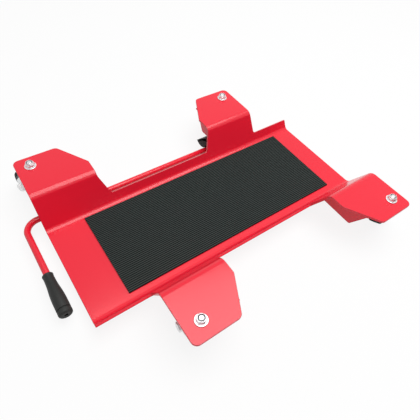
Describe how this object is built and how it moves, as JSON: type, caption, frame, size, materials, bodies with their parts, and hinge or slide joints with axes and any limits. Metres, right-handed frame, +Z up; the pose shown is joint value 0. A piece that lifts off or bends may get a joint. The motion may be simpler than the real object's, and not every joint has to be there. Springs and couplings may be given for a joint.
{
  "type": "motorcycle mover dolly",
  "caption": "Low red steel dolly on swivel casters, with a ribbed rubber deck between raised caster tabs and a lever brake that lowers rubber shoes to the floor.",
  "frame": {"origin": "on the floor, under the middle of the dolly's bounding box as it stands", "axes": "+X along the deck, away from the lever's end; +Y to the side that carries the brake shaft; +Z up"},
  "size_m": [0.557, 0.4252, 0.0829],
  "materials": {
    "red_paint": "glossy powder coat",
    "mat_rubber": "matt ribbed",
    "zinc_plate": "zinc plated",
    "ball_steel": "polished",
    "grip_plastic": "moulded",
    "shoe_rubber": "moulded",
    "hub_plastic": "moulded",
    "tyre_rubber": "satin"
  },
  "bodies": {
    "deck": {"deck_plate": "red_paint", "rubber_mat": "mat_rubber", "shaft_bracket_left": "red_paint", "shaft_bracket_right": "red_paint", "caster_nuts": "zinc_plate", "caster_washers": "zinc_plate", "gusset_rear_left": "red_paint", "gusset_rear_right": "red_paint", "gusset_front_left": "red_paint", "gusset_front_right": "red_paint", "stem_rear_left": "zinc_plate", "stem_rear_right": "zinc_plate", "stem_front_left": "zinc_plate", "stem_front_right": "zinc_plate", "top_cup_rear_left": "zinc_plate", "top_cup_rear_right": "zinc_plate", "top_cup_front_left": "zinc_plate", "top_cup_front_right": "zinc_plate"},
    "brake_lever": {"brake_shaft": "red_paint", "lever_grip": "grip_plastic", "brake_arm_left": "red_paint", "brake_arm_right": "red_paint", "brake_shoe_left": "shoe_rubber", "brake_shoe_right": "shoe_rubber", "shaft_washer": "zinc_plate", "split_pin": "zinc_plate"},
    "swivel_rear_left": {"race_balls_rear_left": "ball_steel", "fork_rear_left": "zinc_plate", "axle_bolt_rear_left": "zinc_plate", "axle_nut_rear_left": "zinc_plate", "axle_sleeve_rear_left": "zinc_plate"},
    "wheel_rear_left": {"wheel_hub_rear_left": "hub_plastic", "wheel_tyre_rear_left": "tyre_rubber"},
    "swivel_rear_right": {"race_balls_rear_right": "ball_steel", "fork_rear_right": "zinc_plate", "axle_bolt_rear_right": "zinc_plate", "axle_nut_rear_right": "zinc_plate", "axle_sleeve_rear_right": "zinc_plate"},
    "wheel_rear_right": {"wheel_hub_rear_right": "hub_plastic", "wheel_tyre_rear_right": "tyre_rubber"},
    "swivel_front_left": {"race_balls_front_left": "ball_steel", "fork_front_left": "zinc_plate", "axle_bolt_front_left": "zinc_plate", "axle_nut_front_left": "zinc_plate", "axle_sleeve_front_left": "zinc_plate"},
    "wheel_front_left": {"wheel_hub_front_left": "hub_plastic", "wheel_tyre_front_left": "tyre_rubber"},
    "swivel_front_right": {"race_balls_front_right": "ball_steel", "fork_front_right": "zinc_plate", "axle_bolt_front_right": "zinc_plate", "axle_nut_front_right": "zinc_plate", "axle_sleeve_front_right": "zinc_plate"},
    "wheel_front_right": {"wheel_hub_front_right": "hub_plastic", "wheel_tyre_front_right": "tyre_rubber"}
  },
  "joints": [
    {"name": "brake_lever_turn", "type": "hinge", "parent": "deck", "child": "brake_lever", "pos_m": [0.00599, 0.10319, 0.0221], "axis": [-1, 0, 0], "range_deg": [0, 140]},
    {"name": "swivel_turn_rear_left", "type": "hinge", "parent": "deck", "child": "swivel_rear_left", "pos_m": [-0.22161, 0.16499, 0.06], "axis": [0, 0, 1], "continuous": true},
    {"name": "wheel_spin_rear_left", "type": "hinge", "parent": "swivel_rear_left", "child": "wheel_rear_left", "pos_m": [-0.22985, 0.18539, 0.025], "axis": [0.9272, 0.3746, 0], "continuous": true},
    {"name": "swivel_turn_rear_right", "type": "hinge", "parent": "deck", "child": "swivel_rear_right", "pos_m": [0.15129, 0.16499, 0.06], "axis": [0, 0, 1], "continuous": true},
    {"name": "wheel_spin_rear_right", "type": "hinge", "parent": "swivel_rear_right", "child": "wheel_rear_right", "pos_m": [0.15435, 0.18678, 0.025], "axis": [0.9903, -0.1392, 0], "continuous": true},
    {"name": "swivel_turn_front_left", "type": "hinge", "parent": "deck", "child": "swivel_front_left", "pos_m": [-0.13641, -0.18861, 0.06], "axis": [0, 0, 1], "continuous": true},
    {"name": "wheel_spin_front_left", "type": "hinge", "parent": "swivel_front_left", "child": "wheel_front_left", "pos_m": [-0.13449, -0.16669, 0.025], "axis": [0.9962, -0.0872, 0], "continuous": true},
    {"name": "swivel_turn_front_right", "type": "hinge", "parent": "deck", "child": "swivel_front_right", "pos_m": [0.23359, -0.18861, 0.06], "axis": [0, 0, 1], "continuous": true},
    {"name": "wheel_spin_front_right", "type": "hinge", "parent": "swivel_front_right", "child": "wheel_front_right", "pos_m": [0.25264, -0.17761, 0.025], "axis": [0.5, -0.866, 0], "continuous": true}
  ]
}
